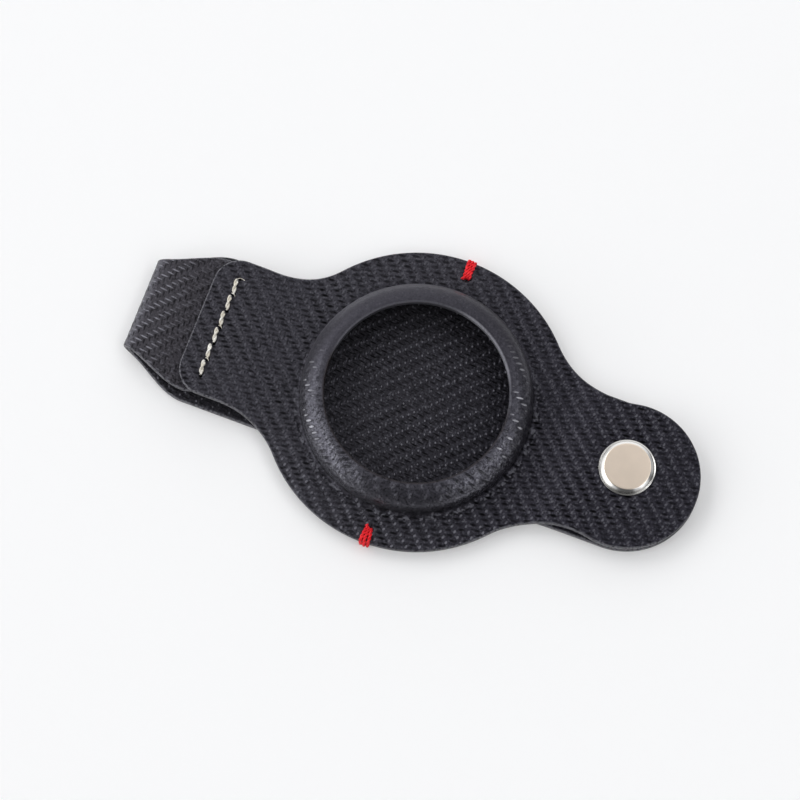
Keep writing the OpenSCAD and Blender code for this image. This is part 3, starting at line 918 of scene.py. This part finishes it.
def thread_finish(name, dark, light):
    """Matt twisted thread with fibres, its tone varying at random between a dark and a light colour."""
    s = new_shader(name)
    colour = s.mix(s.noise(1.1, 2.0).between(0.35, 0.7), dark, light)
    return s.done(s.surface(colour, 0.65, s.noise(9.0, 2.0), 0.05))


def steel(name, face, roughness, face_r=None):
    """Steel with a satin face. Outside a radius from the snap's axis comes a brighter turned bevel,
    and then a duller rolled edge."""
    s = new_shader(name)
    grain = s.noise(7.0, 4.0)
    smudge = s.noise(0.4, 3.0).between(0.3, 0.75)
    tone = s.mix(smudge, tuple(c * 0.95 for c in face), face)
    rough = roughness + (grain - 0.5) * 0.10 + smudge * 0.04
    if face_r:
        place = s.node("TexCoord", output="Object")
        x = s.node("SeparateXYZ", {}, [place], 0) / MM - SNAP_X
        y = s.node("SeparateXYZ", {}, [place], 1) / MM - SNAP_Y
        from_axis = (x * x + y * y) ** 0.5
        on_bevel = from_axis.between(face_r - 0.06, face_r + 0.04)
        tone = s.mix(on_bevel, tone, TURNED_STEEL)
        tone = s.mix(from_axis.between(face_r + 0.24, face_r + 0.36), tone, ROLLED_STEEL)
        rough = rough * (1 - on_bevel * 0.6)
    return s.done(s.surface(tone, rough, grain, 0.004, {"Metallic": 1.0}))


def seen_by(s, *rays):
    """1 to these kinds of rays, and 0 to all others."""
    seen = 0.0
    for ray in rays:
        seen = s.node("LightPath", output=f"Is {ray} Ray").most(seen)
    return seen


def plain_floor():
    """A pale floor that looks almost white, also in metal, and still takes the object's shadow."""
    s = new_shader("floor")
    lift = s.mix(seen_by(s, "Camera", "Glossy", "Transmission"), (0.0, 0.0, 0.0), (1.0, 1.0, 1.0))
    return s.done(s.surface(FLOOR_WHITE, 0.9, constants={
        "Specular IOR Level": 0.0, "Emission Color": lift, "Emission Strength": FLOOR_LIFT}))


def give(obj, material):
    """Gives a piece its only material."""
    obj.data.materials.clear()
    obj.data.materials.append(material)


# Threads, from polylines


def smooth_path(points, steps=8):
    """A curve through points."""
    p = np.asarray(points, float)
    p = np.concatenate([[2 * p[0] - p[1]], p, [2 * p[-1] - p[-2]]])
    out = []
    for i in range(1, len(p) - 2):
        for k in range(steps):
            t = k / steps
            out.append(0.5 * (2 * p[i] + (p[i + 1] - p[i - 1]) * t
                              + (2 * p[i - 1] - 5 * p[i] + 4 * p[i + 1] - p[i + 2]) * t**2
                              + (3 * p[i] - p[i - 1] - 3 * p[i + 1] + p[i + 2]) * t**3))
    out.append(p[-2])
    return np.array(out)


def thread_tree():
    """Geometry nodes that lay two plies round a path like the plies of a thread."""
    tree = bpy.data.node_groups.new("twisted_thread", "GeometryNodeTree")
    sockets = {"Path": "Geometry", "Ply radius": "Float", "Turn length": "Float",
               "Side by side at": "Float", "Finish": "Material"}
    for label, kind in sockets.items():
        tree.interface.new_socket(label, in_out="INPUT", socket_type="NodeSocket" + kind)
    tree.interface.new_socket("Thread", in_out="OUTPUT", socket_type="NodeSocketGeometry")
    g = Nodes(tree)
    given = tree.nodes.new("NodeGroupInput")
    path, ply, turn, side_by_side, finish = (Value(g, given.outputs[label]) for label in sockets)

    def scaled(vector, length):
        return g.node("VectorMath", {"operation": "SCALE"}, {0: vector, "Scale": length})

    curve = g.node("GeometryNodeMeshToCurve", {}, {"Mesh": path})
    level = g.node("GeometryNodeSetCurveNormal", {"mode": "Z_UP"}, {"Curve": curve})
    even = g.node("GeometryNodeResampleCurve", {"mode": "LENGTH"}, {"Curve": level, "Length": ply * 0.6})
    normal = g.node("GeometryNodeInputNormal")
    tangent = g.node("GeometryNodeInputTangent")
    across = g.node("VectorMath", {"operation": "CROSS_PRODUCT"}, [tangent, normal])
    ring = g.node("GeometryNodeCurvePrimitiveCircle", {}, {"Resolution": 10, "Radius": ply})
    turns = (g.node("GeometryNodeSplineParameter", output="Length") - side_by_side) / turn
    join = tree.nodes.new("GeometryNodeJoinGeometry")
    for half_turn in (0.0, 0.5):
        angle = (turns + half_turn) * (2 * math.pi)
        sideways = scaled(normal, angle.cosine() * ply)
        upward = scaled(across, angle.sine() * ply)
        offset = g.node("VectorMath", {"operation": "ADD"}, [sideways, upward])
        moved = g.node("GeometryNodeSetPosition", {}, {"Geometry": even, "Offset": offset})
        tube = g.node("GeometryNodeCurveToMesh", {},
                      {"Curve": moved, "Profile Curve": ring, "Fill Caps": True})
        tree.links.new(tube.socket, join.inputs[0])
    smooth = g.node("GeometryNodeSetShadeSmooth", {}, {"Geometry": Value(g, join.outputs[0])})
    real = g.node("GeometryNodeRealizeInstances", {}, {"Geometry": smooth})
    done = g.node("GeometryNodeSetMaterial", {}, {"Geometry": real, "Material": finish})
    g.node("NodeGroupOutput", {}, {"Thread": done})
    return tree


def thread(name, paths, tree, material, diameter, turn, start=0.0):
    """Two-ply thread along each path, its plies side by side at a distance from the path's start."""
    vertices, edges = [], []
    for path in paths:
        first = len(vertices)
        vertices.extend(tuple(p * MM) for p in path)
        edges.extend((i, i + 1) for i in range(first, len(vertices) - 1))
    mesh = bpy.data.meshes.new(name + "_path")
    mesh.from_pydata(vertices, edges, [])
    guide = placed(name + "_path", mesh)
    modifier = guide.modifiers.new("thread", "NODES")
    modifier.node_group = tree
    sizes = {"Ply radius": diameter / 4, "Turn length": turn, "Side by side at": start}
    for item in tree.interface.items_tree:
        if item.name in sizes:
            modifier[item.identifier] = sizes[item.name] * MM
        elif item.name == "Finish":
            modifier[item.identifier] = material
    depsgraph = bpy.context.evaluated_depsgraph_get()
    result = bpy.data.meshes.new_from_object(guide.evaluated_get(depsgraph))
    bpy.data.objects.remove(guide)
    result.name = name
    return placed(name, result)


# The pieces


def dome_rings():
    """Guide circles of the dome, closer where it curves."""
    shares = np.concatenate([np.linspace(0, 0.8, 22)[3:], np.linspace(0.82, 1, 9)])
    rings = [circle(0, 0, WINDOW_R + share * (FLANGE_R - WINDOW_R)) for share in shares]
    return rings + [circle(0, 0, FLANGE_R + beyond) for beyond in (0.15, 0.35, 0.6, 0.95)]


def front_fine_points():
    """Close points where needles, tacks and snap press the leather in."""
    near = [grid((x - 0.8, y - 0.8), (x + 0.8, y + 0.8), 0.12) for x, y in seam_places(STITCHES + 1)]
    for side, length in ((-1, TACK_LEN_NEAR), (1, TACK_LEN_FAR)):
        y = side * (DISC_R - length)
        near.append(grid((TACK_X - 1.3, y - 1), (TACK_X + 1.3, y + 1), 0.17))
    near.extend(circle(SNAP_X, SNAP_Y, r, 90) for r in SNAP_RINGS)
    return np.concatenate(near)


def make_front(outer_finish, lining_finish):
    """The front sheet's two plies."""
    border = outline(front_half(TAB_W / 2 + TAB_Y, 1), front_half(TAB_W / 2 - TAB_Y, -1))
    window = circle(0, 0, WINDOW_R)
    plan = sheet_plan(border, window, dome_rings(), front_fine_points(), FRONT_STEP)
    outer = ply_mesh("front_panel", plan, form_front, 0, PLY, EDGE_ROUND, GLUED_ROUND, front_dimples)
    lining = ply_mesh("front_panel_lining", plan, form_front, PLY, SHEET, GLUED_ROUND, EDGE_ROUND)
    for obj, finish, slot, nodes in (
            (outer, outer_finish, "leather_outer", ("front_outer", "flap_outer")),
            (lining, lining_finish, "leather_lining", ("front_lining", "flap_lining"))):
        give(obj, finish)
        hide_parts(*nodes)
        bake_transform(obj)


def make_back(outer_finish, lining_finish):
    """The back sheet's two plies, with the strap folded over to the tab."""
    border = outline(back_half(1), back_half(-1))
    plan = sheet_plan(border, None, [], np.zeros((0, 2)), BACK_STEP)
    for name, node, finish, slot, depths, rounds in (
            ("back_panel", "back_outer", outer_finish, "leather_outer",
             (0, PLY), (EDGE_ROUND, GLUED_ROUND)),
            ("back_panel_lining", "back_lining", lining_finish, "leather_lining",
             (PLY, SHEET), (GLUED_ROUND, EDGE_ROUND))):
        obj = ply_mesh(name, plan, form_back, *depths, *rounds, facing=-1)
        give(obj, finish)
        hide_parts(node)
        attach(obj, "holder")


def stitch_path(centre, base, up):
    """One stitch: up out of the leather, over it and down again."""
    slant = math.radians(STITCH_SLANT)
    along = (-math.sin(slant), math.cos(slant))
    shape = [(-0.86, -0.6), (-0.90, -0.3), (-0.88, 0.03), (-0.52, 0.18), (0, 0.24),
             (0.52, 0.18), (0.88, 0.03), (0.90, -0.3), (0.86, -0.6)]
    return smooth_path([
        (centre[0] + along[0] * t, centre[1] + along[1] * t, base + up * h) for t, h in shape])


def fibre_paths():
    """Loose fibres of the stitching, past its far end and beside some needle holes."""
    holes = seam_places(STITCHES + 1)
    far_x, far_y = holes[0]
    routes = [[(far_x - 0.2, far_y - 0.2), (far_x + 0.25, far_y + 0.08), (far_x + 0.7, far_y + 0.1),
               (far_x + 1.05, far_y)]]
    for x, y in holes[1::2]:
        routes.append([(x - 0.1, y + 0.2), (x + 0.3, y + 0.12), (x + 0.55, y - 0.1)])
    heights = [TAB_TOP + 0.05, TAB_TOP + 0.10] * 2
    return [smooth_path([(x, y, z) for (x, y), z in zip(route, heights)]) for route in routes]


def make_stitches(tree, finish):
    """The seam's stitches on the tab and under the strap, and their loose fibres."""
    for name, node, base, up in (("tab_stitches", "tab_needle_thread", TAB_TOP, 1),
                                 ("tab_under_stitches", "tab_bobbin_thread", TAB_TOP - 2 * SHEET, -1)):
        paths = [stitch_path(centre, base, up) for centre in seam_places(STITCHES)]
        length = float(np.linalg.norm(np.diff(paths[0], axis=0), axis=1).sum())
        start = (length - STITCH_HALF_TURN) / 2
        obj = thread(name, paths, tree, finish, STITCH_THREAD, 2 * STITCH_HALF_TURN, start)
        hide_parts(node)
        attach(obj, "holder")
    obj = thread("tab_stitch_fibres", fibre_paths(), tree, finish, FIBRE_THREAD, FIBRE_TURN)
    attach(obj, "holder")


def tack_paths(side, length, inner_w, outer_w):
    """Threads that wrap the edge, each from the inner hole over the rim and back below, and a tail.
    Their spacing is inner_w at the hole and outer_w at the rim."""
    rng = np.random.default_rng(5 + side)
    paths = []
    start = DISC_R - length
    for k in range(TACK_THREADS):
        lane = k - (TACK_THREADS - 1) / 2
        inner, outer = lane * inner_w, lane * outer_w
        wave = rng.normal(0, 0.03, 4)
        reach = DISC_R + 0.06 + rng.normal(0, 0.05)
        up_and_over = [
            (inner * 0.7, start + 0.12, 0.9), (inner * 0.85, start + 0.06, FRONT_TOP - 0.25),
            (inner + wave[0], start + 0.32, FRONT_TOP + 0.20),
            ((inner + outer) / 2 + wave[1], start + 1.0, FRONT_TOP + 0.28 + abs(wave[2])),
            (outer + wave[3], start + 1.7, FRONT_TOP + 0.26), (outer, reach - 0.12, FRONT_TOP + 0.1)]
        round_and_back = [
            (outer, reach, FRONT_TOP - 0.4), (outer * 0.9, reach, 0.75),
            (outer * 0.8, DISC_R - 0.1, 0.27), (inner * 0.8, start + 0.9, 0.27),
            (inner * 0.7, start + 0.1, 0.4), (inner * 0.6, start, 1.1)]
        route = up_and_over + round_and_back
        paths.append(smooth_path([(TACK_X + x, side * y, z) for x, y, z in route]))
    tail = [(-0.15, start, FRONT_TOP - 0.6), (-0.25, start - 0.02, FRONT_TOP - 0.1),
            (-0.38, start - 0.15, FRONT_TOP + 0.18), (-0.48, start - 0.34, FRONT_TOP + 0.14),
            (-0.52, start - 0.42, FRONT_TOP + 0.04)]
    paths.append(smooth_path([(TACK_X + x, side * y, z) for x, y, z in tail]))
    return paths


def make_tacks(tree, finish):
    """The two red tacks, each with its threads' spacing at the hole and at the rim."""
    for name, node, side, length, inner_w, outer_w in (
            ("tack_far", "bar_tack_far", 1, TACK_LEN_FAR, 0.42, 0.46),
            ("tack_near", "bar_tack_near", -1, TACK_LEN_NEAR, 0.40, 0.60)):
        paths = tack_paths(side, length, inner_w, outer_w)
        obj = thread(name, paths, tree, finish, TACK_THREAD, TACK_TURN)
        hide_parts(node)
        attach(obj, "holder")


def rim_and_heights(node):
    """Radius of a turned node's rim, and the heights of its foot and its top."""
    low, high = box_mm(node)
    return (high[0] - low[0]) / 2, low[2], high[2]


def make_snap(satin, polished_and_highlit):
    """Cap, socket, stud and rivet, with the rounded edges of pressed metal."""
    edge, low, high = rim_and_heights("snap_cap")
    cap = turned("snap_cap_dressed", softened(
        [(0, high), (CAP_FACE_R - 0.04, high), (CAP_FACE_R + 0.46, high - 0.36),
         (CAP_FACE_R + 0.5, low + 0.2), (edge, low + 0.15), (edge, low), (edge - 0.3, low),
         (CAP_FACE_R + 0.2, low + 0.3), (CAP_FACE_R - 0.2, high - METAL), (0, high - METAL)],
        [0.45, 0.07, 0.06, 0.06, 0.05, 0.04, 0.04, 0.1], 8)[::-1])
    edge, low, high = rim_and_heights("snap_socket")
    chamber = 2.6
    socket = turned("snap_socket_dressed", softened(
        [(NECK_BORE_R, high - 0.1), (NECK_BORE_R, high), (edge, high), (edge, low),
         (SOCKET_MOUTH_R, low), (SOCKET_MOUTH_R, low + METAL), (chamber, low + METAL),
         (chamber, high - METAL), (NECK_BORE_R, high - METAL), (NECK_BORE_R, high - 0.12)],
        [0, 0.08, 0.16, 0.08, 0.08, 0.05, 0.1, 0])[::-1])
    edge, low, high = rim_and_heights("snap_stud")
    neck, head, crown = 1.45, 1.8, 1.62
    stud = turned("snap_stud_dressed", softened(
        [(0, low), (edge, low), (edge, low + METAL), (neck, low + METAL), (neck, high - 0.62),
         (head, high - 0.35), (crown, high), (0, high)],
        [0.05, 0.08, 0.1, 0.05, 0.14, 0.18]))
    edge, low, high = rim_and_heights("snap_rivet")
    shank = 0.9
    rivet = turned("snap_rivet_dressed", softened(
        [(0, low), (edge - 0.7, low), (edge, LOBE_LIFT - 0.22), (edge, LOBE_LIFT), (shank, LOBE_LIFT),
         (shank, high), (0, high)],
        [0.4, 0.12, 0.03, 0.02, 0.05]))
    for obj, node, body, finish in (
            (cap, "snap_cap", "flap", satin), (socket, "snap_socket", "flap", polished_and_highlit),
            (stud, "snap_stud", "holder", polished_and_highlit), (rivet, "snap_rivet", "holder", satin)):
        give(obj, finish)
        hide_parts(node)
        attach(obj, body)
    for node in ("snap_post", "snap_spring"):
        give(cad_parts[node], polished_and_highlit)


def make_stage():
    """A pale floor, soft light from the far left and the fitted camera."""
    corners = [(x * FLOOR_HALF, y * FLOOR_HALF, -FLOOR_DROP)
               for x, y in ((-1, -1), (1, -1), (1, 1), (-1, 1))]
    floor = mesh_object("floor", corners, [(0, 1, 2, 3)])
    give(floor, plain_floor())

    turn = Matrix.Rotation(math.radians(CAMERA_TURN), 3, "Z")
    tilt = math.radians(CAMERA_TILT)
    right = Vector((1, 0, 0))
    up = Vector((0, math.cos(tilt), math.sin(tilt)))
    back = Vector((0, -math.sin(tilt), math.cos(tilt)))
    data = bpy.data.cameras.new("camera")
    data.sensor_width = SENSOR
    data.lens = LENS
    data.clip_start = 10 * MM
    camera = placed("camera", data)
    place = back * CAMERA_DISTANCE + right * CAMERA_RIGHT + up * CAMERA_UP
    camera.matrix_world = Matrix.Translation(turn @ place * MM) @ (
        turn @ Matrix((right, up, back)).transposed()).to_4x4()
    bpy.context.scene.camera = camera

    light = bpy.data.lights.new("key", "AREA")
    light.shape = "DISK"
    light.size = KEY_SIZE * MM
    light.energy = KEY_LIGHT
    key = placed("key", light)
    away = turn @ Vector(KEY_DIRECTION).normalized()
    key.location = away * KEY_DISTANCE * MM
    key.rotation_mode = "QUATERNION"
    key.rotation_quaternion = away.to_track_quat("Z", "Y")

    make_world(turn)
    bpy.context.scene.view_settings.view_transform = "Standard"


def make_world(turn):
    """An even pale room with banks of light round the object. The camera sees it plain."""
    world = bpy.data.worlds.new("studio")
    bpy.context.scene.world = world
    s = Shader(world)
    way = s.node("TexCoord", output="Generated")
    glow = ROOM_LIGHT
    for direction, full, gone, level in LIGHT_BANKS:
        facing = s.node("VectorMath", {"operation": "DOT_PRODUCT"},
                        [way, tuple(turn @ Vector(direction).normalized())], 1)
        glow = facing.between(math.cos(math.radians(gone)), math.cos(math.radians(full))) * level + glow
    strength = glow + seen_by(s, "Camera", "Transmission") * (ROOM_SEEN - glow)
    background = s.node("Background", {}, {"Color": ROOM_WHITE, "Strength": strength})
    s.node("OutputWorld", {}, {"Surface": background})


make_stage()
make_front(leather("leather_front"), leather("leather_front_lining", lay="mirrored"))
make_back(
    leather("leather_back", lay="quarter", emboss=0.09, pits=0.75, domed=0.0,
            top=BACK_SHINE, pit=BACK_PIT, skin=STRAP_SKIN, highlight_polish=0.25),
    leather("leather_back_lining", lay="mirrored", emboss=0.11, pits=0.8, domed=0.0,
            top=LINING_SHINE, pit=LINING_PIT, skin=POCKET_SKIN, highlight_polish=0.36, gloss=0.24))
laid_thread = thread_tree()
make_stitches(laid_thread, thread_finish("cream_thread", *CREAM))
make_tacks(laid_thread, thread_finish("red_thread", *RED))
make_snap(steel("satin_steel", SATIN_STEEL, 0.34, CAP_FACE_R),
          steel("bright_steel", BRIGHT_STEEL, 0.2))
